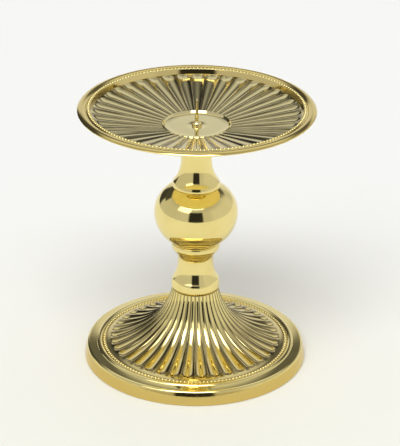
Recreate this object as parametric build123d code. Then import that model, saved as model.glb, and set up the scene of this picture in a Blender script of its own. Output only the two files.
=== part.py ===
from build123d import *
import math
import os

# Pricket candle stand in polished brass: a fluted bell foot, a turned stem in three pieces and a
# fluted drip pan with a spike, drawn together by a tie rod through the stem.
# Millimetres, +Z up, origin at the centre of the foot's underside.

# Heights of the stacked pieces
foot_height = 49.0
lower_neck_height = 33.4
knop_height = 39.2
upper_neck_height = 37.0
pan_boss_depth = 4.8
spike_height = 18.2

# Foot: outer rim, flat band, moulding and ridge for the beading
rim_radius = 73.2
rim_top_radius = 71.6
rim_height = 7.9
rim_edge_round = 0.8
rim_hollow = 0.12
shoulder_radius = 69.7
shoulder_height = 9.5
shoulder_bulge = 0.42
moulding_outer_radius = 65.2
moulding_outer_height = 9.9
moulding_inner_radius = 61.6
moulding_bulge = 1.0
beading_radius = 60.2
beading_width = 2.0
beading_base_height = 10.2
beading_height = 0.9

# Foot: fluted bell and its hollow underside
bell_top_radius = 15.2
bell_top_slope = 80.0
bell_top_pull = 18.6
bell_end_radius = 59.0
bell_end_height = 10.2
bell_end_slope = 12.0
bell_end_pull = 28.5
foot_wall = 2.7
foot_web = 7.0
foot_hollow_radius = 12.6
rim_wall = 3.4
rim_underside_height = 6.6

# Flutes, counted round the foot and round the pan
foot_flutes = 38
foot_flute_end_radius = 56.4
foot_flute_stations = 4
pan_flutes = 40
pan_flute_end_radius = 70.0
flute_land_share = 0.04
foot_flute_depth_ratio = 0.14
pan_flute_depth_ratio = 0.115
flute_lead = 1.5
flute_overcut = 0.4

# Lower neck: collar at the foot, waist, flare and lip under the knop
collar_edge_radius = 15.3
collar_radius = 15.9
collar_belly_height = 2.2
collar_shoulder_radius = 15.1
collar_shoulder_height = 7.0
collar_bulge = 0.2
collar_crease_radius = 12.8
collar_crease_height = 10.7
collar_round = 0.7
waist_radius = 11.7
waist_start_height = 16.5
waist_end_height = 20.5
flare_radius = 14.4
flare_height = 27.5
lip_radius = 15.95
lip_thickness = 1.3
lip_round = 0.8

# Knop: a hollow flattened ball with flat seats
knop_radius = 27.2
knop_equator_height = 20.5
knop_low_seat_radius = 14.5
knop_high_seat_radius = 15.2
knop_wall = 2.0
knop_end_wall = 2.5

# Upper neck: skirt on the knop, plain neck up to the pan
skirt_radius = 15.65
skirt_edge = 3.2
skirt_low_round = 0.75
skirt_high_round = 0.55
neck_radius = 10.0
neck_start_height = 17.8

# Drip pan, heights above its flat disc
pan_radius = 76.0
disc_radius = 20.3
disc_ring_radius = 21.4
disc_ring_rise = 1.4
disc_ring_round = 0.15
dish_start_radius = 22.2
dish_start_rise = 1.0
dish_radius = 67.2
dish_rise = 8.9
pan_beading_radius = 68.8
pan_beading_rise = 12.0
roll_inner_radius = 70.3
roll_base_rise = 11.6
roll_bulge = 1.3
roll_edge_rise = 11.3
roll_thickness = 1.6
pan_wall = 1.9
pan_side_wall = 2.0
disc_wall = 1.5
pan_boss_radius = 13.0

# Pricket
spike_radius = 1.4
spike_tip_radius = 0.65
spike_point = 1.6
spike_collar_radius = 3.2
spike_collar_height = 2.8
spike_seat_depth = 1.0
stud_radius = 2.5
stud_length = 12.0

# Tie rod and fastening under the foot
rod_radius = 3.0
rod_tail = 2.2
rod_engagement = 12.0
rod_hole_spare = 1.5
washer_radius = 10.0
washer_thickness = 1.6
spring_washer_radius = 5.4
spring_washer_thickness = 1.6
spring_washer_split = 1.2
nut_across_flats = 10.0
nut_height = 5.0
nut_chamfer_angle = 35.0

# Fits
seat_spigot_radius = 8.0
knop_spigot_radius = 9.0
pan_spigot_radius = 6.0
spigot_length = 2.3
spigot_end_gap = 0.3
fit_clearance = 0.05
rod_clearance = 0.3

# Levels worked out from the stack
knop_base = foot_height + lower_neck_height
knop_top = knop_base + knop_height
neck_top = knop_top + upper_neck_height
disc_level = neck_top + pan_boss_depth
web_level = foot_height - foot_web
spring_washer_top = web_level - washer_thickness
nut_top = spring_washer_top - spring_washer_thickness
nut_low = nut_top - nut_height


def turned(*edges):
    """A solid turned from a closed outline, x the radius and y the height."""
    return revolve(Plane.XZ * make_face(Wire(list(edges))), Axis.Z)


def rod(radius, low, high):
    return Pos(0, 0, low) * Cylinder(radius, high - low, align=(Align.CENTER, Align.CENTER, Align.MIN))


def tube(inner, outer, low, high):
    """A plain ring or sleeve about the axis."""
    return rod(outer, low, high) - rod(inner, low, high)


def bulged(start, end, bulge):
    """An arc from start to end that stands out by bulge, to the left of the way from start to end."""
    chord = Vector(*end) - Vector(*start)
    left = Vector(-chord.Y, chord.X).normalized()
    middle = Vector(*start) + chord / 2 + left * bulge
    return ThreePointArc(start, middle, end)


def bell_curve(top, end, top_pull, end_pull):
    """The bell's flare, steep at the top and nearly level at the foot's moulding."""
    steep = math.radians(bell_top_slope)
    level = math.radians(bell_end_slope)
    top_handle = (top[0] + top_pull * math.cos(steep), top[1] - top_pull * math.sin(steep))
    end_handle = (end[0] - end_pull * math.cos(level), end[1] + end_pull * math.sin(level))
    return Bezier(top, top_handle, end_handle, end)


def place_at_radius(path, radius):
    """The share of a path's length at which it reaches a radius."""
    low, high = 0.0, 1.0
    for _ in range(40):
        middle = (low + high) / 2
        if (path @ middle).X < radius:
            low = middle
        else:
            high = middle
    return (low + high) / 2


def flute_width(radius, count):
    return 2 * math.pi / count * radius * (1 - flute_land_share)


def flute_circle(width, depth):
    """Radius of a flute's round section."""
    return (width * width / 4 + depth * depth) / (2 * depth)


def repeated_in_sectors(flute, count, limits):
    """A flute kept inside its own sector of the limits, then repeated round the axis."""
    angle = 360 / count
    sector = Rot(0, 0, -angle / 2) * revolve(Plane.XZ * limits, Axis.Z, revolution_arc=angle)
    flute = flute & sector
    return [Rot(0, 0, angle * i) * flute for i in range(count)]


def bell_flutes(path):
    """Round-ended flutes that widen down the bell."""
    end_width = flute_width(foot_flute_end_radius, foot_flutes)
    start = -flute_lead / path.length
    end = place_at_radius(path, foot_flute_end_radius - end_width / 2)
    sections = []
    for i in range(foot_flute_stations):
        share = start + (end - start) * i / (foot_flute_stations - 1)
        on_path = max(share, 0.0)
        along = path % on_path
        out = Vector(-along.Y, along.X)
        point = path @ on_path + along * (share - on_path) * path.length
        width = flute_width(point.X, foot_flutes)
        depth = foot_flute_depth_ratio * width
        radius = flute_circle(width, depth)
        centre = point + out * (radius - depth)
        plane = Plane((centre.X, 0, centre.Y), x_dir=(out.X, 0, out.Y), z_dir=(along.X, 0, along.Y))
        sections.append(plane * Circle(radius))
    round_end = plane * Sphere(radius, arc_size1=0, arc_size2=90, align=Align.NONE)
    limits = Rectangle(bell_end_radius, foot_height + flute_lead, align=Align.MIN)
    return repeated_in_sectors(loft(sections) + round_end, foot_flutes, limits)


def dish_flutes(dish_in, dish_out):
    """Flutes on the dish, cut off by its wall: each is a cone that shares the dish's own apex."""
    slope = math.atan2(dish_out[1] - dish_in[1], dish_out[0] - dish_in[0])
    apex = dish_in[1] - dish_in[0] * math.tan(slope)
    end_width = flute_width(pan_flute_end_radius, pan_flutes)
    reach = (pan_flute_end_radius - end_width / 2) / math.cos(slope)
    width = flute_width(reach * math.cos(slope), pan_flutes)
    depth = pan_flute_depth_ratio * width
    radius = flute_circle(width, depth)
    lift = math.atan2(radius - depth, reach)
    half_angle = lift + math.atan2(depth, reach)
    ball_distance = math.hypot(reach, radius - depth)
    ball_radius = ball_distance * math.sin(half_angle)
    cone_end = ball_distance * math.cos(half_angle) ** 2
    cone_start = (dish_in[0] - flute_lead) / math.cos(slope)
    spread = math.tan(half_angle)
    along = (math.cos(slope + lift), 0, math.sin(slope + lift))
    axis = Plane((0, 0, apex), x_dir=(-along[2], 0, along[0]), z_dir=along)
    length = cone_end - cone_start
    blank = Cone(cone_start * spread, cone_end * spread, length, align=(Align.CENTER, Align.CENTER, Align.MIN))
    flute = axis * (Pos(0, 0, cone_start) * blank + Pos(0, 0, ball_distance) * Sphere(ball_radius))
    high_out = (dish_out[0], dish_out[1] + flute_overcut)
    high_in = (dish_in[0], dish_in[1] + flute_overcut)
    limits = Polygon((dish_in[0], neck_top), (dish_out[0], neck_top), high_out, high_in, align=Align.NONE)
    return repeated_in_sectors(flute, pan_flutes, limits)


def foot():
    bell_top = (bell_top_radius, foot_height)
    bell_end = (bell_end_radius, bell_end_height)
    bell = bell_curve(bell_top, bell_end, bell_top_pull, bell_end_pull)
    hollow_top = (foot_hollow_radius, web_level)
    hollow_end = (bell_end_radius - foot_wall / 2, bell_end_height - foot_wall)
    hollow = bell_curve(hollow_top, hollow_end, bell_top_pull - foot_web + foot_wall, bell_end_pull)
    ridge_in = (beading_radius - beading_width / 2, beading_base_height)
    ridge_out = (beading_radius + beading_width / 2, beading_base_height)
    ridge_top = (beading_radius, beading_base_height + beading_height)
    moulding_in = (moulding_inner_radius, beading_base_height)
    moulding_out = (moulding_outer_radius, moulding_outer_height)
    shoulder = (shoulder_radius, shoulder_height)
    rim_top = (rim_top_radius, rim_height)
    rim_low = (rim_radius, rim_edge_round)
    rim_foot = (rim_radius - rim_edge_round, 0)
    inner_foot = (rim_radius - rim_wall, 0)
    inner_corner = (rim_top_radius - rim_wall, rim_underside_height)
    axis_top = (0, foot_height)
    axis_web = (0, web_level)
    body = turned(
        Line(axis_top, bell_top),
        bell,
        Line(bell_end, ridge_in),
        ThreePointArc(ridge_in, ridge_top, ridge_out),
        Line(ridge_out, moulding_in),
        bulged(moulding_in, moulding_out, moulding_bulge),
        Line(moulding_out, shoulder),
        bulged(shoulder, rim_top, shoulder_bulge),
        bulged(rim_top, rim_low, -rim_hollow),
        RadiusArc(rim_low, rim_foot, rim_edge_round),
        Line(rim_foot, inner_foot),
        Line(inner_foot, inner_corner),
        Line(inner_corner, hollow_end),
        hollow,
        Line(hollow_top, axis_web),
        Line(axis_web, axis_top),
    )
    body -= bell_flutes(bell)
    body -= rod(rod_radius + rod_clearance, web_level, foot_height)
    socket = foot_height - spigot_length - spigot_end_gap
    return body - rod(seat_spigot_radius + fit_clearance, socket, foot_height)


def lower_neck():
    base = foot_height
    collar_edge = (collar_edge_radius, base)
    collar_belly = (collar_radius, base + collar_belly_height)
    collar_shoulder = (collar_shoulder_radius, base + collar_shoulder_height)
    collar_crease = (collar_crease_radius, base + collar_crease_height)
    waist_start = (waist_radius, base + waist_start_height)
    waist_end = (waist_radius, base + waist_end_height)
    flare_end = (flare_radius, base + flare_height)
    lip_low = (lip_radius, knop_base - lip_thickness)
    lip_top = (lip_radius - lip_round, knop_base)
    cove = TangentArc(waist_start, collar_crease, tangent=(0, -1))
    flare = TangentArc(waist_end, flare_end, tangent=(0, 1))
    body = turned(
        Line((0, base), collar_edge),
        bulged(collar_edge, collar_belly, -collar_bulge),
        bulged(collar_belly, collar_shoulder, -collar_bulge),
        bulged(collar_shoulder, collar_crease, -collar_round),
        cove,
        Line(waist_start, waist_end),
        flare,
        TangentArc(flare_end, lip_low, tangent=flare % 1),
        bulged(lip_low, lip_top, -lip_round / 4),
        Line(lip_top, (0, knop_base)),
        Line((0, knop_base), (0, base)),
    )
    body += rod(seat_spigot_radius, base - spigot_length, base)
    body += rod(knop_spigot_radius, knop_base, knop_base + spigot_length)
    return body - rod(rod_radius + rod_clearance, base - spigot_length, knop_base + spigot_length)


def ball(equator_radius, low, high):
    """A flattened ball between two flat seats: two arcs that meet smoothly at the equator."""
    equator = (equator_radius, knop_base + knop_equator_height)
    low_edge = (knop_low_seat_radius, low)
    high_edge = (knop_high_seat_radius, high)
    return turned(
        Line((0, low), low_edge),
        TangentArc(equator, low_edge, tangent=(0, -1)),
        TangentArc(equator, high_edge, tangent=(0, 1)),
        Line(high_edge, (0, high)),
        Line((0, high), (0, low)),
    )


def knop():
    body = ball(knop_radius, knop_base, knop_top)
    body -= ball(knop_radius - knop_wall, knop_base + knop_end_wall, knop_top - knop_end_wall)
    return body - rod(knop_spigot_radius + fit_clearance, knop_base, knop_top)


def upper_neck():
    edge_low = (skirt_radius - skirt_low_round, knop_top)
    edge_middle = (skirt_radius, knop_top + skirt_edge / 2)
    edge_high = (skirt_radius - skirt_high_round, knop_top + skirt_edge)
    neck_start = (neck_radius, knop_top + neck_start_height)
    body = turned(
        Line((0, knop_top), edge_low),
        ThreePointArc(edge_low, edge_middle, edge_high),
        TangentArc(neck_start, edge_high, tangent=(0, -1)),
        Line(neck_start, (neck_radius, neck_top)),
        Line((neck_radius, neck_top), (0, neck_top)),
        Line((0, neck_top), (0, knop_top)),
    )
    body += rod(knop_spigot_radius, knop_top - spigot_length, knop_top)
    body += rod(pan_spigot_radius, neck_top, neck_top + spigot_length)
    rod_hole_top = knop_top + rod_engagement + rod_hole_spare
    body -= rod(rod_radius + fit_clearance, knop_top - spigot_length, rod_hole_top)
    stud_hole_low = disc_level - stud_length - rod_hole_spare
    return body - rod(stud_radius + fit_clearance, stud_hole_low, neck_top + spigot_length)


def pan():
    disc_edge = (disc_radius, disc_level)
    ring_top = (disc_ring_radius, disc_level + disc_ring_rise)
    dish_in = (dish_start_radius, disc_level + dish_start_rise)
    dish_out = (dish_radius, disc_level + dish_rise)
    ridge_in = (pan_beading_radius - beading_width / 2, disc_level + pan_beading_rise)
    ridge_out = (pan_beading_radius + beading_width / 2, disc_level + pan_beading_rise)
    ridge_top = (pan_beading_radius, disc_level + pan_beading_rise + beading_height)
    roll_in = (roll_inner_radius, disc_level + roll_base_rise)
    roll_edge = (pan_radius, disc_level + roll_edge_rise)
    roll_low = (pan_radius - roll_thickness / 2, disc_level + roll_edge_rise - roll_thickness / 2)
    under_roll = (roll_inner_radius, disc_level + roll_base_rise - roll_thickness)
    under_wall = (dish_radius + pan_side_wall, disc_level + dish_rise - pan_wall / 2)
    under_dish = (dish_radius, disc_level + dish_rise - pan_wall)
    under_disc = (dish_start_radius, disc_level - disc_wall)
    under_boss = (pan_boss_radius, disc_level - disc_wall)
    boss_low = (pan_boss_radius, neck_top)
    body = turned(
        Line((0, disc_level), disc_edge),
        Line(disc_edge, ring_top),
        bulged(ring_top, dish_in, disc_ring_round),
        Line(dish_in, dish_out),
        Line(dish_out, ridge_in),
        ThreePointArc(ridge_in, ridge_top, ridge_out),
        Line(ridge_out, roll_in),
        bulged(roll_in, roll_edge, roll_bulge),
        bulged(roll_edge, roll_low, roll_thickness / 8),
        Line(roll_low, under_roll),
        Line(under_roll, under_wall),
        Line(under_wall, under_dish),
        Line(under_dish, under_disc),
        Line(under_disc, under_boss),
        Line(under_boss, boss_low),
        Line(boss_low, (0, neck_top)),
        Line((0, neck_top), (0, disc_level)),
    )
    body -= dish_flutes(dish_in, dish_out)
    body -= rod(stud_radius + fit_clearance, neck_top, disc_level)
    body -= rod(spike_collar_radius + fit_clearance, disc_level - spike_seat_depth, disc_level)
    return body - rod(pan_spigot_radius + fit_clearance, neck_top, neck_top + spigot_length + spigot_end_gap)


def pricket():
    seat = disc_level - spike_seat_depth
    collar_top = (spike_radius, disc_level + spike_collar_height)
    collar_edge = (spike_collar_radius, disc_level)
    tip = disc_level + spike_height
    point = (spike_tip_radius, tip - spike_point)
    stud_low = disc_level - stud_length
    return turned(
        Line((0, stud_low), (stud_radius, stud_low)),
        Line((stud_radius, stud_low), (stud_radius, seat)),
        Line((stud_radius, seat), (spike_collar_radius, seat)),
        Line((spike_collar_radius, seat), collar_edge),
        TangentArc(collar_edge, collar_top, tangent=(0, 1)),
        Line(collar_top, point),
        Line(point, (0, tip)),
        Line((0, tip), (0, stud_low)),
    )


def tie_rod():
    return rod(rod_radius, nut_low - rod_tail, knop_top + rod_engagement)


def foot_washer():
    return tube(rod_radius + rod_clearance, washer_radius, spring_washer_top, web_level)


def foot_spring_washer():
    ring = tube(rod_radius + rod_clearance, spring_washer_radius, nut_top, spring_washer_top)
    split = Box(spring_washer_radius, spring_washer_split, spring_washer_thickness, align=Align.MIN)
    return ring - Pos(0, -spring_washer_split / 2, nut_top) * split


def foot_nut():
    hexagon = RegularPolygon(nut_across_flats / 2, 6, major_radius=False)
    body = extrude(Pos(0, 0, nut_low) * hexagon, nut_height)
    flat = nut_across_flats / 2
    corner = nut_across_flats / math.sqrt(3)
    chamfer_top = nut_low + (corner - flat) * math.tan(math.radians(nut_chamfer_angle))
    round_blank = turned(
        Line((0, nut_low), (flat, nut_low)),
        Line((flat, nut_low), (corner, chamfer_top)),
        Line((corner, chamfer_top), (corner, nut_top)),
        Line((corner, nut_top), (0, nut_top)),
        Line((0, nut_top), (0, nut_low)),
    )
    return (body & round_blank) - rod(rod_radius + fit_clearance, nut_low, nut_top)


pieces = [
    foot,
    lower_neck,
    knop,
    upper_neck,
    pan,
    pricket,
    tie_rod,
    foot_washer,
    foot_spring_washer,
    foot_nut,
]

os.makedirs("parts", exist_ok=True)
for make in pieces:
    shape = make()
    shape.label = make.__name__
    export_step(shape, "parts/" + make.__name__ + ".step")
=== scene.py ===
import math

import bmesh
import bpy
import numpy as np
from mathutils import Matrix, Vector


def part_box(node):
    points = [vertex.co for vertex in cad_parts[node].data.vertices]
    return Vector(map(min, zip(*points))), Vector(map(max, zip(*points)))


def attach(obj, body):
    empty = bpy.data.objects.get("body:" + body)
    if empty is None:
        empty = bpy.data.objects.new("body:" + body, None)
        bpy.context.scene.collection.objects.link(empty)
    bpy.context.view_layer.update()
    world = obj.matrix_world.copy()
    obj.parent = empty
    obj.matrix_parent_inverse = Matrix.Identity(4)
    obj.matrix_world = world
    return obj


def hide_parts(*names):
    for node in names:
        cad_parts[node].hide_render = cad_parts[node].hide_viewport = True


# Pricket candle stand in polished brass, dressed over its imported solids.
# Profiles are written in millimetres as (radius, height) and turned about the stand's axis.

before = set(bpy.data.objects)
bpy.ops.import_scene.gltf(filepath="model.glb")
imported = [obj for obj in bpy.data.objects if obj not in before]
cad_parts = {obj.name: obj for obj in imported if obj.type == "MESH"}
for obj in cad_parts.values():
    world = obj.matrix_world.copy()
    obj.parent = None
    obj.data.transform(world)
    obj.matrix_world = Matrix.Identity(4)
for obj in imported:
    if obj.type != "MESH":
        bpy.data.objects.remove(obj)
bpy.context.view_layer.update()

MM = 0.001


def low(node):
    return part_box(node)[0][2] / MM


def top(node):
    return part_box(node)[1][2] / MM


def half_width(node):
    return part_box(node)[1][0] / MM


# Levels and sizes read from the frame
spigot_length = 2.3
foot_height = top("foot")
knop_base = low("knop")
knop_top = top("knop")
neck_top = low("pan")
web_level = top("foot_washer")
spring_washer_top = low("foot_washer")
nut_top = low("foot_spring_washer")
nut_low = low("foot_nut")
spike_tip = top("pricket")
rim_radius = half_width("foot")
knop_radius = half_width("knop")
pan_radius = half_width("pan")
washer_radius = half_width("foot_washer")

# Foot
rim_top_radius = 71.6
rim_height = 7.9
rim_edge_round = 0.8
rim_bulge = 0.15
shoulder_radius = 69.7
shoulder_height = 9.5
shoulder_bulge = 0.42
moulding_outer_radius = 65.2
moulding_outer_height = 9.9
moulding_inner_radius = 61.6
moulding_bulge = 1.0
bell_top_radius = 15.2
bell_top_slope = 80.0
bell_top_pull = 18.6
bell_end_radius = 59.0
bell_end_height = 10.2
bell_end_slope = 12.0
bell_end_pull = 28.5
foot_wall = 2.7
foot_web = 7.0
foot_hollow_radius = 12.6
rim_wall = 3.4
rim_underside_height = 6.6

# Beading on the foot and the pan
bead_radius = 1.0
bead_height = 0.9
bead_ridge_height = 0.35
foot_bead_ring = 60.2
foot_beads = 154
pan_bead_ring = 68.8
pan_beads = 176

# Flutes
foot_flutes = 38
foot_flute_end = 56.4
pan_flutes = 40
pan_flute_end = 67.0
flute_land_share = 0.04
foot_flute_depth_ratio = 0.16
pan_flute_depth_ratio = 0.15
flute_step = 0.12

# Lower neck, heights above the foot
collar_edge_radius = 15.3
collar_radius = 15.9
collar_belly_height = 2.2
collar_shoulder_radius = 15.1
collar_shoulder_height = 7.0
collar_bulge = 0.2
waist_radius = 11.7
waist_start_height = 18.5
waist_end_height = 20.5
flare_radius = 14.4
flare_height = 27.5
lip_radius = 15.95
lip_thickness = 1.3
lip_round = 0.8

# Knop and upper neck
knop_equator_height = 20.5
knop_low_seat = 14.5
knop_high_seat = 15.2
knop_wall = 2.0
knop_end_wall = 2.5
skirt_radius = 15.65
skirt_low_edge = 0.8
skirt_low_round = 0.75
skirt_high_edge = 3.4
skirt_high_round = 0.7
skirt_bulge = 0.1
neck_radius = 10.0
neck_start_height = 17.8

# Pan, heights above its disc
pan_boss_depth = 4.8
disc_radius = 20.3
disc_ring_radius = 21.4
disc_ring_rise = 1.4
disc_ring_round = 0.05
dish_start_radius = 22.2
dish_start_rise = 1.0
dish_radius = 66.9
dish_rise = 8.9
pan_bead_rise = 12.0
roll_inner_radius = 70.3
roll_base_rise = 11.6
roll_bulge = 1.3
roll_edge_rise = 11.3
roll_thickness = 1.6
pan_wall = 1.9
pan_side_wall = 2.0
disc_wall = 1.5
pan_boss_radius = 13.0
disc_level = neck_top + pan_boss_depth

# Pricket
spike_radius = 1.4
spike_tip_radius = 0.65
spike_point = 1.6
spike_collar_radius = 3.2
spike_collar_height = 2.8
spike_seat_depth = 1.0
stud_radius = 2.5

# Bores and fastening
seat_spigot_radius = 8.0
knop_spigot_radius = 9.0
pan_spigot_radius = 6.0
rod_radius = 3.0
rod_hole_radius = 3.3
blind_hole_spare = 1.5
fit_clearance = 0.05
thread_pitch = 1.0
thread_depth = 0.54
thread_flank = 1.35
thread_crest = 0.2
threaded_length = 16.0
spring_washer_radius = 5.4
spring_washer_split = 1.2
nut_across_flats = 10.0
nut_chamfer_angle = 35.0
nut_flats_start = 1.5

# Small rounds that polishing leaves on every edge
edge_round = 0.22

# How finely round things are divided
plain_columns = 192
spike_columns = 64
rod_columns = 36
washer_columns = 96
spring_washer_columns = 73
nut_columns = 144
bead_columns = 14
bead_rows = 7
bell_rows = 44
bell_end_rows = 26
bell_end_share = 0.62
bell_end_margin = 0.3
dish_rows = 34
dish_end_rows = 28
dish_end_share = 0.6

# Tones of the brass, and where the bell starts to dull
brass_light = (0.88, 0.745, 0.32)
brass_warm = (0.84, 0.695, 0.28)
dish_tone = (0.84, 0.735, 0.385)
pan_flute_tone = (0.70, 0.61, 0.32)
bell_flute_tone = (0.74, 0.61, 0.27)
# Painted shade laid on the lines between the flutes
painted_flute_shade = (0.13, 0.105, 0.045)
roll_tone = (0.75, 0.595, 0.215)
# Painted shade: a deeper amber on the foot's rim wall, standing for the shadowed floor it reflects
rim_wall_painted_shade = (0.68, 0.51, 0.16)
# Painted shade: a darker tone on the pan's inner wall below the beading
dish_wall_painted_shade = (0.76, 0.61, 0.25)
bell_dull_radius = 25.0

# Tones of the steel and the floor
zinc_yellow = (0.6, 0.59, 0.52)
zinc_blue = (0.58, 0.6, 0.64)
floor_front = (0.93, 0.93, 0.845)
floor_back = (0.93, 0.93, 0.91)

# Floor in metres, below the stand by a hair so that the two don't share a plane
floor_reach = 12.0
floor_fade = 0.35
floor_drop = 0.05 * MM

# The photograph's viewpoint: millimetres and degrees
camera_place = (2.64, -1239.3, 677.1)
camera_pitch = 25.173
camera_roll = 0.577
camera_lens = 170.3
camera_sensor = 36.0


# Curves in the profile's plane

def line(a, b, steps=1):
    t = np.linspace(0, 1, steps + 1)[:, None]
    return np.array(a, float) * (1 - t) + np.array(b, float) * t


def bezier(a, b, c, d, steps):
    t = np.linspace(0, 1, steps + 1)[:, None]
    a, b, c, d = (np.array(p, float) for p in (a, b, c, d))
    return (1 - t) ** 3 * a + 3 * (1 - t) ** 2 * t * b + 3 * (1 - t) * t * t * c + t ** 3 * d


def tangent_arc(a, b, tangent, steps=16):
    """An arc that leaves a along the tangent and ends at b."""
    a, b = np.array(a, float), np.array(b, float)
    chord = b - a
    heading = math.atan2(tangent[1], tangent[0])
    turn = math.atan2(chord[1], chord[0]) - heading
    turn = (turn + math.pi) % (2 * math.pi) - math.pi
    t = np.linspace(0, 1, steps + 1)
    reach = np.hypot(*chord) * np.sin(turn * t) / math.sin(turn)
    return a + reach[:, None] * np.stack([np.cos(heading + turn * t), np.sin(heading + turn * t)], 1)


def bulged(a, b, bulge, steps=14):
    """An arc from a to b that stands out by bulge, to the left of the way from a to b."""
    chord = np.array(b, float) - np.array(a, float)
    half_turn = 2 * math.atan2(2 * bulge, np.hypot(*chord))
    heading = math.atan2(chord[1], chord[0]) + half_turn
    return tangent_arc(a, b, (math.cos(heading), math.sin(heading)), steps)


def joined(*edges):
    """One line of points from edges that follow each other."""
    points = [edges[0]]
    for edge in edges[1:]:
        points.append(edge[1:])
    return np.concatenate(points)


def softened(points, radius, closed=True, sharp=math.radians(14), steps=4):
    """The same outline with a small round on every corner."""
    out = []
    count = len(points)
    for i in range(count):
        here = points[i]
        if not closed and i in (0, count - 1):
            out.append(here)
            continue
        back, ahead = points[i - 1] - here, points[(i + 1) % count] - here
        back_length, ahead_length = np.hypot(*back), np.hypot(*ahead)
        back, ahead = back / back_length, ahead / ahead_length
        turn = math.pi - math.acos(max(-1.0, min(1.0, float(back @ ahead))))
        if turn < sharp or here[0] < radius:
            out.append(here)
            continue
        cut = min(radius * math.tan(turn / 2), 0.45 * back_length, 0.45 * ahead_length)
        start, end = here + back * cut, here + ahead * cut
        out.extend(tangent_arc(start, end, -back, steps))
    return np.array(out)


def bell_curve(a, b, top_pull, end_pull, steps):
    steep, level = math.radians(bell_top_slope), math.radians(bell_end_slope)
    top_handle = (a[0] + top_pull * math.cos(steep), a[1] - top_pull * math.sin(steep))
    end_handle = (b[0] - end_pull * math.cos(level), b[1] + end_pull * math.sin(level))
    return bezier(a, top_handle, end_handle, b, steps)


# Meshes

def face_outward(mesh):
    """Turns every face of a closed mesh to look out."""
    shell = bmesh.new()
    shell.from_mesh(mesh)
    bmesh.ops.recalc_face_normals(shell, faces=shell.faces)
    shell.to_mesh(mesh)
    shell.free()


def piece(name, vertices, faces, sharp_angle=40.0):
    mesh = bpy.data.meshes.new(name)
    mesh.from_pydata((np.asarray(vertices) * MM).tolist(), [], faces)
    face_outward(mesh)
    mesh.polygons.foreach_set("use_smooth", [True] * len(mesh.polygons))
    mesh.set_sharp_from_angle(angle=math.radians(sharp_angle))
    mesh.update()
    made = bpy.data.objects.new(name, mesh)
    bpy.context.collection.objects.link(made)
    return made


def grid_faces(rows, columns, close_rows):
    """Quads between rows of points that each go once round the axis."""
    faces = []
    for i in range(rows if close_rows else rows - 1):
        a, b = i * columns, (i + 1) % rows * columns
        for j in range(columns):
            k = (j + 1) % columns
            faces.append((a + j, b + j, b + k, a + k))
    return faces


def even_angles(columns):
    return np.arange(columns) * 2 * math.pi / columns


def around(radius, height, angles):
    """Points of a grid of radii and heights, one column for each angle."""
    return np.stack([radius * np.cos(angles), radius * np.sin(angles), height], -1).reshape(-1, 3)


def turned(name, profile, angles=None, sink=None):
    """A closed outline turned about the axis. sink gives how far each point lies below the outline."""
    angles = even_angles(plain_columns) if angles is None else angles
    radius = np.repeat(profile[:, :1], len(angles), 1)
    height = np.repeat(profile[:, 1:], len(angles), 1)
    if sink is not None:
        ahead = np.roll(profile, -1, 0) - np.roll(profile, 1, 0)
        ahead /= np.maximum(np.hypot(ahead[:, 0], ahead[:, 1]), 1e-9)[:, None]
        radius = radius - sink * -ahead[:, 1:]
        height = height - sink * ahead[:, :1]
    return piece(name, around(radius, height, angles), grid_faces(len(profile), len(angles), True))


def capped(name, profile, angles=None):
    """An outline that starts and ends on the axis, turned and closed with a fan at each end."""
    angles = even_angles(plain_columns) if angles is None else angles
    rows = profile[1:-1]
    columns = len(angles)
    ring = np.ones(columns)
    points = around(rows[:, :1] * ring, rows[:, 1:] * ring, angles)
    first, last = len(points), len(points) + 1
    points = np.concatenate([points, [[0, 0, profile[0, 1]], [0, 0, profile[-1, 1]]]])
    faces = grid_faces(len(rows), columns, False)
    end = (len(rows) - 1) * columns
    for j in range(columns):
        k = (j + 1) % columns
        faces.append((first, j, k))
        faces.append((last, end + k, end + j))
    return piece(name, points, faces)


def flute_angles(count):
    """Columns for a fluted ring: close together at the edges of each flute, wider inside it."""
    half = flute_land_share / 2
    inside = [half, half + 0.018, half + 0.045, 0.11, 0.17, 0.25, 0.33, 0.42]
    cell = np.array([0.0] + inside + [0.5] + [1 - u for u in reversed(inside)])
    pitch = 2 * math.pi / count
    return ((np.arange(count)[:, None] + cell - 0.5) * pitch).ravel(), np.tile(cell - 0.5, count) * pitch


def flute_sink(profile, rows, count, end_radius, depth_ratio, offsets):
    """Depth of round-ended flutes below the first rows of a profile."""
    share = (1 - flute_land_share) * 2 * math.pi / count
    end_width = share * end_radius
    path = profile[:rows]
    along = np.concatenate([[0], np.cumsum(np.hypot(*np.diff(path, axis=0).T))])
    end_at = np.interp(end_radius - end_width / 2, path[:, 0], along)
    width = share * np.minimum(path[:, 0], end_radius - end_width / 2)
    depth = depth_ratio * width
    section = (width * width / 4 + depth * depth) / (2 * depth)
    past = np.maximum(along - end_at, 0)
    across = path[:, :1] * offsets
    inner = section[:, None] ** 2 - across ** 2 - past[:, None] ** 2
    sink = np.sqrt(np.maximum(inner, 0)) - (section - depth)[:, None]
    full = np.zeros((len(profile), len(offsets)))
    full[:rows] = np.maximum(sink, 0)
    return full


def dense_bell(a, b):
    """The bell's flare, with rows closer together where the flutes end."""
    curve = bell_curve(a, b, bell_top_pull, bell_end_pull, 600)
    end_width = 2 * math.pi / foot_flutes * foot_flute_end
    upper = np.linspace(0, 1, bell_rows)
    ends = np.linspace(foot_flute_end - bell_end_share * end_width, foot_flute_end + bell_end_margin,
                       bell_end_rows)
    radii = np.concatenate([np.interp(upper, np.linspace(0, 1, 601), curve[:, 0]), ends])
    radii = np.unique(np.round(radii, 3))
    return np.stack([radii, np.interp(radii, curve[:, 0], curve[:, 1])], 1)


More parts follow.
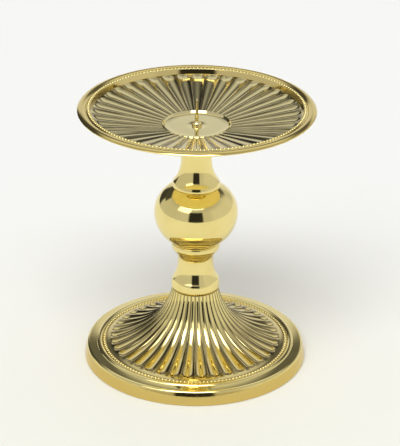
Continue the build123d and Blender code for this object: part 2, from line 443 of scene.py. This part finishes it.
def foot():
    bell_top = (bell_top_radius, foot_height)
    bell_end = (bell_end_radius, bell_end_height)
    hollow_top = (foot_hollow_radius, web_level)
    hollow_end = (bell_end_radius - foot_wall / 2, bell_end_height - foot_wall)
    hollow = bell_curve(hollow_top, hollow_end, bell_top_pull - foot_web + foot_wall, bell_end_pull, 40)
    ridge_in = (foot_bead_ring - bead_radius, bell_end_height)
    ridge_out = (foot_bead_ring + bead_radius, bell_end_height)
    moulding_in = (moulding_inner_radius, bell_end_height)
    moulding_out = (moulding_outer_radius, moulding_outer_height)
    shoulder = (shoulder_radius, shoulder_height)
    rim_top = (rim_top_radius, rim_height)
    rim_low = (rim_radius, rim_edge_round)
    rim_foot = (rim_radius - rim_edge_round, 0)
    inner_foot = (rim_radius - rim_wall, 0)
    inner_corner = (rim_top_radius - rim_wall, rim_underside_height)
    socket = foot_height - spigot_length
    bell = dense_bell(bell_top, bell_end)
    outside = joined(
        line(bell_end, ridge_in),
        bulged(ridge_in, ridge_out, bead_ridge_height),
        line(ridge_out, moulding_in),
        bulged(moulding_in, moulding_out, moulding_bulge, 24),
        line(moulding_out, shoulder),
        bulged(shoulder, rim_top, shoulder_bulge),
        bulged(rim_top, rim_low, rim_bulge),
        tangent_arc(rim_low, rim_foot, (0, -1), 8),
        line(rim_foot, inner_foot),
        line(inner_foot, inner_corner),
        line(inner_corner, hollow_end),
        hollow[::-1],
        line(hollow_top, (rod_hole_radius, web_level)),
        line((rod_hole_radius, web_level), (rod_hole_radius, socket)),
        line((rod_hole_radius, socket), (seat_spigot_radius, socket)),
        line((seat_spigot_radius, socket), (seat_spigot_radius, foot_height)),
        line((seat_spigot_radius, foot_height), bell_top),
    )
    profile = np.concatenate([bell, softened(outside, edge_round, closed=False)[1:-1]])
    angles, offsets = flute_angles(foot_flutes)
    sink = flute_sink(profile, len(bell), foot_flutes, foot_flute_end, foot_flute_depth_ratio, offsets)
    return turned("fluted_foot", profile, angles, sink)


def lower_neck():
    base = foot_height
    collar_edge = (collar_edge_radius, base)
    collar_belly = (collar_radius, base + collar_belly_height)
    collar_shoulder = (collar_shoulder_radius, base + collar_shoulder_height)
    waist_start = (waist_radius, base + waist_start_height)
    waist_end = (waist_radius, base + waist_end_height)
    flare_end = (flare_radius, base + flare_height)
    lip_low = (lip_radius, knop_base - lip_thickness)
    lip_top = (lip_radius - lip_round, knop_base)
    flare = tangent_arc(waist_end, flare_end, (0, 1), 24)
    spigot_top = knop_base + spigot_length
    spigot_low = base - spigot_length
    profile = joined(
        bulged(collar_edge, collar_belly, -collar_bulge),
        bulged(collar_belly, collar_shoulder, -collar_bulge, 18),
        tangent_arc(waist_start, collar_shoulder, (0, -1), 30)[::-1],
        line(waist_start, waist_end, 6),
        flare,
        tangent_arc(flare_end, lip_low, flare[-1] - flare[-2], 20),
        bulged(lip_low, lip_top, -lip_round / 4, 10),
        line(lip_top, (knop_spigot_radius, knop_base)),
        line((knop_spigot_radius, knop_base), (knop_spigot_radius, spigot_top)),
        line((knop_spigot_radius, spigot_top), (rod_hole_radius, spigot_top)),
        line((rod_hole_radius, spigot_top), (rod_hole_radius, spigot_low)),
        line((rod_hole_radius, spigot_low), (seat_spigot_radius, spigot_low)),
        line((seat_spigot_radius, spigot_low), (seat_spigot_radius, base)),
        line((seat_spigot_radius, base), collar_edge),
    )[:-1]
    return turned("collared_neck", softened(profile, edge_round))


def ball_arc(equator_radius, bottom, ceiling, steps):
    """The side of a flattened ball: two arcs that meet smoothly at its equator."""
    equator = (equator_radius, knop_base + knop_equator_height)
    lower = tangent_arc(equator, (knop_low_seat, bottom), (0, -1), steps)
    upper = tangent_arc(equator, (knop_high_seat, ceiling), (0, 1), steps)
    return joined(lower[::-1], upper)


def knop():
    inside_low, inside_high = knop_base + knop_end_wall, knop_top - knop_end_wall
    profile = joined(
        ball_arc(knop_radius, knop_base, knop_top, 36),
        line((knop_high_seat, knop_top), (knop_spigot_radius, knop_top)),
        line((knop_spigot_radius, knop_top), (knop_spigot_radius, inside_high)),
        line((knop_spigot_radius, inside_high), (knop_high_seat, inside_high)),
        ball_arc(knop_radius - knop_wall, inside_low, inside_high, 20)[::-1],
        line((knop_low_seat, inside_low), (knop_spigot_radius, inside_low)),
        line((knop_spigot_radius, inside_low), (knop_spigot_radius, knop_base)),
        line((knop_spigot_radius, knop_base), (knop_low_seat, knop_base)),
    )[:-1]
    return turned("ball_knop", softened(profile, edge_round))


def upper_neck():
    edge_low = (skirt_radius - skirt_low_round, knop_top)
    edge_middle = (skirt_radius, knop_top + skirt_low_edge)
    edge_high = (skirt_radius - skirt_high_round, knop_top + skirt_high_edge)
    neck_start = (neck_radius, knop_top + neck_start_height)
    spigot_top = neck_top + spigot_length
    spigot_low = knop_top - spigot_length
    rod_bore, stud_bore = rod_radius + fit_clearance, stud_radius + fit_clearance
    rod_hole_top = top("tie_rod") + blind_hole_spare
    stud_hole_low = low("pricket") - blind_hole_spare
    profile = joined(
        line((0, rod_hole_top), (rod_bore, rod_hole_top)),
        line((rod_bore, rod_hole_top), (rod_bore, spigot_low)),
        line((rod_bore, spigot_low), (knop_spigot_radius, spigot_low)),
        line((knop_spigot_radius, spigot_low), (knop_spigot_radius, knop_top)),
        line((knop_spigot_radius, knop_top), edge_low),
        tangent_arc(edge_middle, edge_low, (0, -1), 8)[::-1],
        bulged(edge_middle, edge_high, -skirt_bulge, 10),
        tangent_arc(neck_start, edge_high, (0, -1), 36)[::-1],
        line(neck_start, (neck_radius, neck_top), 8),
        line((neck_radius, neck_top), (pan_spigot_radius, neck_top)),
        line((pan_spigot_radius, neck_top), (pan_spigot_radius, spigot_top)),
        line((pan_spigot_radius, spigot_top), (stud_bore, spigot_top)),
        line((stud_bore, spigot_top), (stud_bore, stud_hole_low)),
        line((stud_bore, stud_hole_low), (0, stud_hole_low)),
    )
    return capped("skirted_neck", softened(profile, edge_round, closed=False))


def pan():
    disc_edge = (disc_radius, disc_level)
    ring_top = (disc_ring_radius, disc_level + disc_ring_rise)
    dish_in = (dish_start_radius, disc_level + dish_start_rise)
    dish_out = (dish_radius, disc_level + dish_rise)
    ridge_in = (pan_bead_ring - bead_radius, disc_level + pan_bead_rise)
    ridge_out = (pan_bead_ring + bead_radius, disc_level + pan_bead_rise)
    roll_in = (roll_inner_radius, disc_level + roll_base_rise)
    roll_edge = (pan_radius, disc_level + roll_edge_rise)
    roll_low = (pan_radius - roll_thickness / 2, disc_level + roll_edge_rise - roll_thickness / 2)
    under_roll = (roll_inner_radius, disc_level + roll_base_rise - roll_thickness)
    under_wall = (dish_radius + pan_side_wall, disc_level + dish_rise - pan_wall / 2)
    under_dish = (dish_radius, disc_level + dish_rise - pan_wall)
    under_disc = (dish_start_radius, disc_level - disc_wall)
    under_boss = (pan_boss_radius, disc_level - disc_wall)
    boss_low = (pan_boss_radius, neck_top)
    seat = disc_level - spike_seat_depth
    socket = neck_top + spigot_length
    end_start = pan_flute_end - dish_end_share * 2 * math.pi / pan_flutes * pan_flute_end
    radii = np.concatenate([np.linspace(dish_in[0] + flute_step, end_start, dish_rows, endpoint=False),
                            np.linspace(end_start, dish_out[0] - flute_step, dish_end_rows)])
    dish = np.stack([radii, np.interp(radii, (dish_in[0], dish_out[0]), (dish_in[1], dish_out[1]))], 1)
    outside = joined(
        line(dish_out, ridge_in, 6),
        bulged(ridge_in, ridge_out, bead_ridge_height),
        line(ridge_out, roll_in),
        bulged(roll_in, roll_edge, roll_bulge, 24),
        bulged(roll_edge, roll_low, roll_thickness / 8, 10),
        line(roll_low, under_roll),
        line(under_roll, under_wall),
        line(under_wall, under_dish),
        line(under_dish, under_disc, 10),
        line(under_disc, under_boss, 4),
        line(under_boss, boss_low),
        line(boss_low, (pan_spigot_radius, neck_top)),
        line((pan_spigot_radius, neck_top), (pan_spigot_radius, socket)),
        line((pan_spigot_radius, socket), (stud_radius, socket)),
        line((stud_radius, socket), (stud_radius, seat)),
        line((stud_radius, seat), (spike_collar_radius, seat)),
        line((spike_collar_radius, seat), (spike_collar_radius, disc_level)),
        line((spike_collar_radius, disc_level), disc_edge, 4),
        line(disc_edge, ring_top),
        bulged(ring_top, dish_in, disc_ring_round, 8),
    )
    profile = np.concatenate([dish, softened(outside, edge_round, closed=False)])
    angles, offsets = flute_angles(pan_flutes)
    sink = flute_sink(profile, len(dish), pan_flutes, pan_flute_end, pan_flute_depth_ratio, offsets)
    return turned("fluted_pan", profile, angles, sink)


def pricket():
    seat = disc_level - spike_seat_depth
    collar_edge = (spike_collar_radius, disc_level)
    collar_top = (spike_radius, disc_level + spike_collar_height)
    point = (spike_tip_radius, spike_tip - spike_point)
    stud_low = low("pricket")
    profile = joined(
        line((0, stud_low), (stud_radius, stud_low)),
        line((stud_radius, stud_low), (stud_radius, seat)),
        line((stud_radius, seat), (spike_collar_radius, seat)),
        line((spike_collar_radius, seat), collar_edge),
        tangent_arc(collar_edge, collar_top, (0, 1), 14),
        line(collar_top, point, 10),
        line(point, (0, spike_tip), 4),
    )
    return capped("pricket_spike", softened(profile, edge_round, closed=False), even_angles(spike_columns))


def bead_ring(name, ring, base, count):
    """Pearls of a milled beading, each a little dome on its ridge."""
    lift = np.linspace(-0.35, 1, bead_rows + 1)[:-1, None] * math.pi / 2
    dome = around(np.cos(lift), np.sin(lift) * np.ones(bead_columns), even_angles(bead_columns))
    dome = np.concatenate([dome, [[0, 0, 1]]]) * (bead_radius, bead_radius, bead_height)
    last_row, crown = (bead_rows - 1) * bead_columns, bead_rows * bead_columns
    faces = grid_faces(bead_rows, bead_columns, False)
    faces += [(last_row + j, crown, last_row + (j + 1) % bead_columns) for j in range(bead_columns)]
    faces.append(tuple(range(bead_columns)))
    points, all_faces = [], []
    for i in range(count):
        turn = Matrix.Rotation(2 * math.pi * i / count, 3, "Z")
        points.append((dome + (ring, 0, base)) @ np.array(turn.transposed()))
        all_faces += [tuple(v + len(dome) * i for v in face) for face in faces]
    return piece(name, np.concatenate(points), all_faces, 60.0)


def threaded_rod():
    """The tie rod: a stud with a rolled thread at each end."""
    bottom, ceiling = low("tie_rod"), top("tie_rod")
    angles = even_angles(rod_columns)
    fine = thread_pitch / 8
    lower = np.arange(bottom, bottom + threaded_length, fine)
    upper = np.arange(ceiling - threaded_length, ceiling + fine / 2, fine)
    heights = np.concatenate([lower, upper])[:, None] * np.ones(len(angles))
    turns = heights / thread_pitch - angles / (2 * math.pi)
    wave = np.abs(2 * (turns - np.floor(turns)) - 1)
    groove = thread_depth * np.clip(thread_flank * wave - thread_crest, 0, 1)
    from_end = np.minimum(heights - bottom, ceiling - heights)
    from_shank = np.minimum(np.abs(heights - lower[-1]), np.abs(heights - upper[0]))
    radius = rod_radius - groove * np.clip(from_shank / thread_pitch, 0, 1)
    radius = np.minimum(radius, rod_radius - thread_depth + from_end)
    points = around(radius, heights, angles)
    rows, columns = heights.shape
    faces = grid_faces(rows, columns, False)
    faces.append(tuple(range(columns)))
    faces.append(tuple(range((rows - 1) * columns, rows * columns)))
    return piece("threaded_tie_rod", points, faces, 50.0)


def flat_washer():
    profile = joined(
        line((washer_radius, spring_washer_top), (washer_radius, web_level)),
        line((washer_radius, web_level), (rod_hole_radius, web_level)),
        line((rod_hole_radius, web_level), (rod_hole_radius, spring_washer_top)),
        line((rod_hole_radius, spring_washer_top), (washer_radius, spring_washer_top)),
    )[:-1]
    return turned("flat_washer", softened(profile, edge_round), even_angles(washer_columns))


def split_washer():
    """A spring washer: one open turn of square wire."""
    gap = spring_washer_split / spring_washer_radius
    section = np.array([
        (spring_washer_radius, nut_top),
        (spring_washer_radius, spring_washer_top),
        (rod_hole_radius, spring_washer_top),
        (rod_hole_radius, nut_top),
    ])
    section = softened(section, edge_round)
    angles = np.linspace(gap / 2, 2 * math.pi - gap / 2, spring_washer_columns)
    ring = np.ones((len(angles), 1))
    points = np.stack([
        np.cos(angles)[:, None] * section[:, 0],
        np.sin(angles)[:, None] * section[:, 0],
        ring * section[:, 1],
    ], -1).reshape(-1, 3)
    corners = len(section)
    faces = grid_faces(len(angles), corners, False)
    faces.append(tuple(range(corners)))
    faces.append(tuple(range(len(points) - 1, len(points) - corners - 1, -1)))
    return piece("split_washer", points, faces)


def hex_nut():
    """A hexagon nut with its chamfered face down."""
    flat = nut_across_flats / 2
    corner = nut_across_flats / math.sqrt(3)
    slope = math.tan(math.radians(nut_chamfer_angle))
    chamfer = (corner - flat) * slope
    angles = even_angles(nut_columns)
    hexagon = flat / np.cos((angles + math.pi / 6) % (math.pi / 3) - math.pi / 6)
    heights = np.concatenate([nut_low + np.linspace(0, chamfer, 9),
                              np.linspace(nut_low + nut_flats_start, nut_top, 5)])
    limit = flat + (heights - nut_low) / slope
    outer_radius = np.minimum(hexagon, limit[:, None])
    bore = np.array([nut_top, nut_top - thread_depth, nut_low + thread_depth, nut_low])
    bore_radius = rod_radius + np.array([thread_depth, 0, 0, thread_depth]) / 2
    ring = np.ones(len(angles))
    radius = np.concatenate([outer_radius, bore_radius[:, None] * ring])
    height = np.concatenate([heights, bore])[:, None] * ring
    return piece("hex_nut", around(radius, height, angles), grid_faces(len(radius), len(angles), True), 25.0)


# Materials

def shader(name):
    material = bpy.data.materials.new(name)
    material.use_nodes = True
    return material, material.node_tree, material.node_tree.nodes["Principled BSDF"]


def math_node(tree, operation, *values):
    made = tree.nodes.new("ShaderNodeMath")
    made.operation = operation
    for i, value in enumerate(values):
        if isinstance(value, (int, float)):
            made.inputs[i].default_value = value
        else:
            tree.links.new(value, made.inputs[i])
    return made.outputs[0]


def times(tree, first, second):
    return math_node(tree, "MULTIPLY", first, second)


def noise(tree, vector, scale, detail):
    made = tree.nodes.new("ShaderNodeTexNoise")
    made.inputs["Scale"].default_value = scale
    made.inputs["Detail"].default_value = detail
    tree.links.new(vector, made.inputs["Vector"])
    return made.outputs["Fac"]


def spread(tree, value, from_low, from_high, to_low, to_high):
    made = tree.nodes.new("ShaderNodeMapRange")
    made.interpolation_type = "SMOOTHSTEP"
    for i, bound in enumerate((from_low, from_high, to_low, to_high)):
        made.inputs[i + 1].default_value = bound
    tree.links.new(value, made.inputs[0])
    return made.outputs[0]


def blended(tree, share, first, second):
    made = tree.nodes.new("ShaderNodeMix")
    made.data_type = "RGBA"
    tree.links.new(share, made.inputs[0])
    for socket, colour in ((made.inputs[6], first), (made.inputs[7], second)):
        if isinstance(colour, tuple):
            socket.default_value = (*colour, 1)
        else:
            tree.links.new(colour, socket)
    return made.outputs[2]


def round_the_axis(tree):
    """A place on the stand, then its radius, height and bearing about the axis."""
    place = tree.nodes.new("ShaderNodeTexCoord").outputs["Object"]
    split = tree.nodes.new("ShaderNodeSeparateXYZ")
    tree.links.new(place, split.inputs[0])
    x, y, height = split.outputs
    radius = math_node(tree, "SQRT", math_node(tree, "ADD", times(tree, x, x), times(tree, y, y)))
    return place, radius, height, math_node(tree, "ARCTAN2", y, x)


def combined(tree, *values):
    made = tree.nodes.new("ShaderNodeCombineXYZ")
    for i, value in enumerate(values):
        tree.links.new(value, made.inputs[i])
    return made.outputs[0]


def past(tree, value, bound, soft):
    """One where a length lies beyond a bound in millimetres, nought before it."""
    return spread(tree, value, (bound - soft) * MM, (bound + soft) * MM, 0.0, 1.0)


def short_of(tree, value, bound, soft):
    """One where a length lies before a bound in millimetres, nought beyond it."""
    return spread(tree, value, (bound - soft) * MM, (bound + soft) * MM, 1.0, 0.0)


def between(tree, value, start, end, soft):
    return times(tree, past(tree, value, start, soft), short_of(tree, value, end, soft))


def arrises(tree, bearing, count):
    """One on the sharp lines between a ring of flutes, falling to nought inside each flute."""
    wave = math_node(tree, "COSINE", times(tree, bearing, float(count)))
    return spread(tree, wave, -0.95, 0.15, 1.0, 0.0)


def facing_up(tree):
    """One on faces that look up, nought on undersides."""
    normal = tree.nodes.new("ShaderNodeNewGeometry").outputs["True Normal"]
    parts = tree.nodes.new("ShaderNodeSeparateXYZ")
    tree.links.new(normal, parts.inputs[0])
    return spread(tree, parts.outputs["Z"], -0.02, 0.02, 0.0, 1.0)


def bump(tree, shade, height, distance):
    made = tree.nodes.new("ShaderNodeBump")
    made.inputs["Strength"].default_value = 1.0
    made.inputs["Distance"].default_value = distance
    tree.links.new(height, made.inputs["Height"])
    tree.links.new(made.outputs[0], shade.inputs["Normal"])


def brass_colour(tree, place, radius, height, bearing, in_pan, pan_flutings):
    """Warm brass toned zone by zone, with painted shade on the lines between the flutes, blotched by noise.
    """
    clouds = spread(tree, noise(tree, place, 45.0, 3.0), 0.35, 0.7, 0.0, 1.0)
    shade_blotches = spread(tree, noise(tree, combined(tree, bearing, radius), 42.0, 3.0), 0.3, 0.65, 0.4, 1.0)
    in_bell = between(tree, height, bell_end_height, foot_height, 0.2)
    in_rim = between(tree, height, 0.0, rim_height, 0.6)
    in_dish_wall = between(tree, radius, dish_radius - 0.1, pan_bead_ring - bead_radius, 0.1)
    bell_reach = times(tree, in_bell, short_of(tree, radius, foot_flute_end + 0.1, 1.0))
    bell_flutings = times(tree, in_bell, between(tree, radius, bell_dull_radius, bell_end_radius, 4.0))
    # Painted shade on the lines between the flutes of the pan and the bell, made blotchy by noise
    lines = math_node(tree, "ADD", times(tree, pan_flutings, arrises(tree, bearing, pan_flutes)),
                      times(tree, bell_reach, arrises(tree, bearing, foot_flutes)))
    zones = (
        (times(tree, in_pan, short_of(tree, radius, pan_flute_end, 0.5)), dish_tone),
        (pan_flutings, pan_flute_tone),
        (bell_flutings, bell_flute_tone),
        (times(tree, lines, shade_blotches), painted_flute_shade),
        (times(tree, in_pan, past(tree, radius, roll_inner_radius + 0.1, 0.4)), roll_tone),
        # Painted shade on the foot's rim wall
        (times(tree, in_rim, past(tree, radius, rim_top_radius - 0.6, 0.5)), rim_wall_painted_shade),
        # Painted shade on the pan's inner wall
        (times(tree, in_dish_wall, past(tree, height, disc_level + dish_rise - 1.4, 0.1)), dish_wall_painted_shade),
    )
    colour = blended(tree, clouds, brass_light, brass_warm)
    for share, tone in zones:
        colour = blended(tree, share, colour, tone)
    return colour


def polished_brass():
    """Lacquered brass: a warm mirror with buffing marks, duller where it is fluted, with painted shade on
    the lines between the flutes.
    """
    material, tree, shade = shader("polished_brass")
    place, radius, height, bearing = round_the_axis(tree)
    in_pan = times(tree, past(tree, height, neck_top + 1.4, 2.0), facing_up(tree))
    pan_flutings = times(tree, in_pan, between(tree, radius, dish_start_radius, dish_radius, 0.6))
    colour = brass_colour(tree, place, radius, height, bearing, in_pan, pan_flutings)
    tree.links.new(colour, shade.inputs["Base Color"])
    shade.inputs["Metallic"].default_value = 1.0
    buffing = noise(tree, combined(tree, radius, height), 2600.0, 2.0)
    haze = noise(tree, place, 160.0, 4.0)
    rough = math_node(tree, "ADD", spread(tree, haze, 0.3, 0.75, 0.035, 0.075), times(tree, buffing, 0.03))
    rough = math_node(tree, "MULTIPLY_ADD", pan_flutings, 0.05, rough)
    tree.links.new(rough, shade.inputs["Roughness"])
    bump(tree, shade, buffing, 0.0012 * MM)
    return material


def plated_steel():
    """Zinc plating: a dull grey metal with a faint yellow and blue cast."""
    material, tree, shade = shader("plated_steel")
    place = tree.nodes.new("ShaderNodeTexCoord").outputs["Object"]
    cast = spread(tree, noise(tree, place, 220.0, 3.0), 0.35, 0.65, 0.0, 1.0)
    tree.links.new(blended(tree, cast, zinc_yellow, zinc_blue), shade.inputs["Base Color"])
    shade.inputs["Metallic"].default_value = 1.0
    grain = noise(tree, place, 900.0, 4.0)
    tree.links.new(spread(tree, grain, 0.25, 0.75, 0.24, 0.42), shade.inputs["Roughness"])
    bump(tree, shade, grain, 0.008 * MM)
    return material


def floor_material():
    """A plain pale floor, a little creamier towards the front."""
    material, tree, shade = shader("pale_floor")
    place = tree.nodes.new("ShaderNodeTexCoord").outputs["Object"]
    split = tree.nodes.new("ShaderNodeSeparateXYZ")
    tree.links.new(place, split.inputs[0])
    back = spread(tree, split.outputs[1], -floor_fade, floor_fade, 0.0, 1.0)
    tree.links.new(blended(tree, back, floor_front, floor_back), shade.inputs["Base Color"])
    shade.inputs["Roughness"].default_value = 0.7
    shade.inputs["Specular IOR Level"].default_value = 0.1
    return material


# Studio

def studio():
    """A soft tent round the stand: pale walls, a softbox above the front, gaps that metal shows dark."""
    world = bpy.data.worlds.new("studio")
    bpy.context.scene.world = world
    world.use_nodes = True
    tree = world.node_tree
    split = tree.nodes.new("ShaderNodeSeparateXYZ")
    tree.links.new(tree.nodes.new("ShaderNodeTexCoord").outputs["Generated"], split.inputs[0])
    x, y, z = split.outputs
    bearing = math_node(tree, "DEGREES", math_node(tree, "ARCTAN2", x, times(tree, y, -1.0)))
    rise = math_node(tree, "DEGREES", math_node(tree, "ARCSINE", z))

    def card(level, strength, middle, half, rises, soft):
        """A patch of the tent about a bearing, between two elevations, laid over the level so far."""
        low_edge, high_edge = rises
        turn = math_node(tree, "WRAP", math_node(tree, "SUBTRACT", bearing, middle), 180.0, -180.0)
        within = spread(tree, math_node(tree, "ABSOLUTE", turn), half - soft, half + soft, 1.0, 0.0)
        above = spread(tree, rise, low_edge - soft, low_edge + soft, 0.0, 1.0)
        below = spread(tree, rise, high_edge - soft, high_edge + soft, 1.0, 0.0)
        share = times(tree, times(tree, within, above), below)
        return math_node(tree, "MULTIPLY_ADD", math_node(tree, "SUBTRACT", strength, level), share, level)

    # Bearings run from the front, to the right, in degrees
    walls = spread(tree, rise, 30.0, 44.0, 0.63, 0.55)
    front_roof = card(walls, 0.30, middle=0.0, half=75.0, rises=(70.0, 110.0), soft=8.0)
    rear_roof = card(front_roof, 0.86, middle=180.0, half=62.0, rises=(45.0, 76.0), soft=6.0)
    rear_band = card(rear_roof, 0.13, middle=180.0, half=62.0, rises=(25.0, 40.0), soft=4.0)
    rear_wall = card(rear_band, 0.80, middle=176.0, half=26.0, rises=(-20.0, 23.0), soft=4.0)
    right_wall = card(rear_wall, 0.73, middle=88.0, half=42.0, rises=(-20.0, 34.0), soft=8.0)
    side_light = card(right_wall, 2.0, middle=-38.0, half=22.0, rises=(31.0, 50.0), soft=3.0)
    softbox = card(side_light, 6.3, middle=-8.0, half=36.0, rises=(48.0, 72.0), soft=5.0)
    low_gap = card(softbox, 0.05, middle=-140.0, half=15.0, rises=(-6.0, 30.0), soft=4.0)
    high_gap = card(low_gap, 0.07, middle=-138.0, half=24.0, rises=(20.0, 37.0), soft=3.0)
    front_gap = card(high_gap, 0.03, middle=0.0, half=20.0, rises=(-3.0, 35.0), soft=3.0)
    background = tree.nodes["Background"]
    background.inputs["Color"].default_value = (1.0, 1.0, 1.0, 1.0)
    tree.links.new(front_gap, background.inputs["Strength"])


def floor():
    mesh = bpy.data.meshes.new("studio_floor")
    corners = [(x * floor_reach, y * floor_reach, -floor_drop)
               for x, y in ((-1, -1), (1, -1), (1, 1), (-1, 1))]
    mesh.from_pydata(corners, [], [(0, 1, 2, 3)])
    made = bpy.data.objects.new("studio_floor", mesh)
    bpy.context.collection.objects.link(made)
    mesh.materials.append(floor_material())


def camera():
    """The photograph's viewpoint."""
    pitch, roll = math.radians(camera_pitch), math.radians(camera_roll)
    right = Vector((1, 0, 0))
    up = Vector((0, math.sin(pitch), math.cos(pitch)))
    ahead = Vector((0, math.cos(pitch), -math.sin(pitch)))
    side = right * math.cos(roll) + up * math.sin(roll)
    head = up * math.cos(roll) - right * math.sin(roll)
    lens = bpy.data.cameras.new("photo_camera")
    lens.sensor_width = camera_sensor
    lens.lens = camera_lens
    made = bpy.data.objects.new("photo_camera", lens)
    bpy.context.collection.objects.link(made)
    turn = Matrix((side, head, -ahead)).transposed().to_4x4()
    made.matrix_world = Matrix.Translation(Vector(camera_place) * MM) @ turn
    bpy.context.scene.camera = made


# The stand

brass = (polished_brass(), "polished_brass")
steel = (plated_steel(), "plated_steel")


def dress(made, finish, *nodes):
    """Gives a piece its finish and its place in the stand. With no node it is extra detail."""
    material, slot = finish
    made.data.materials.append(material)
    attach(made, "root")
    if nodes:
        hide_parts(*nodes)


dress(foot(), brass, "foot")
dress(lower_neck(), brass, "lower_neck")
dress(knop(), brass, "knop")
dress(upper_neck(), brass, "upper_neck")
dress(pan(), brass, "pan")
dress(pricket(), brass, "pricket")
dress(bead_ring("foot_beading", foot_bead_ring, bell_end_height, foot_beads), brass)
dress(bead_ring("pan_beading", pan_bead_ring, disc_level + pan_bead_rise, pan_beads), brass)
dress(threaded_rod(), steel, "tie_rod")
dress(flat_washer(), steel, "foot_washer")
dress(split_washer(), steel, "foot_spring_washer")
dress(hex_nut(), steel, "foot_nut")

floor()
studio()
camera()
bpy.context.scene.view_settings.view_transform = "Standard"
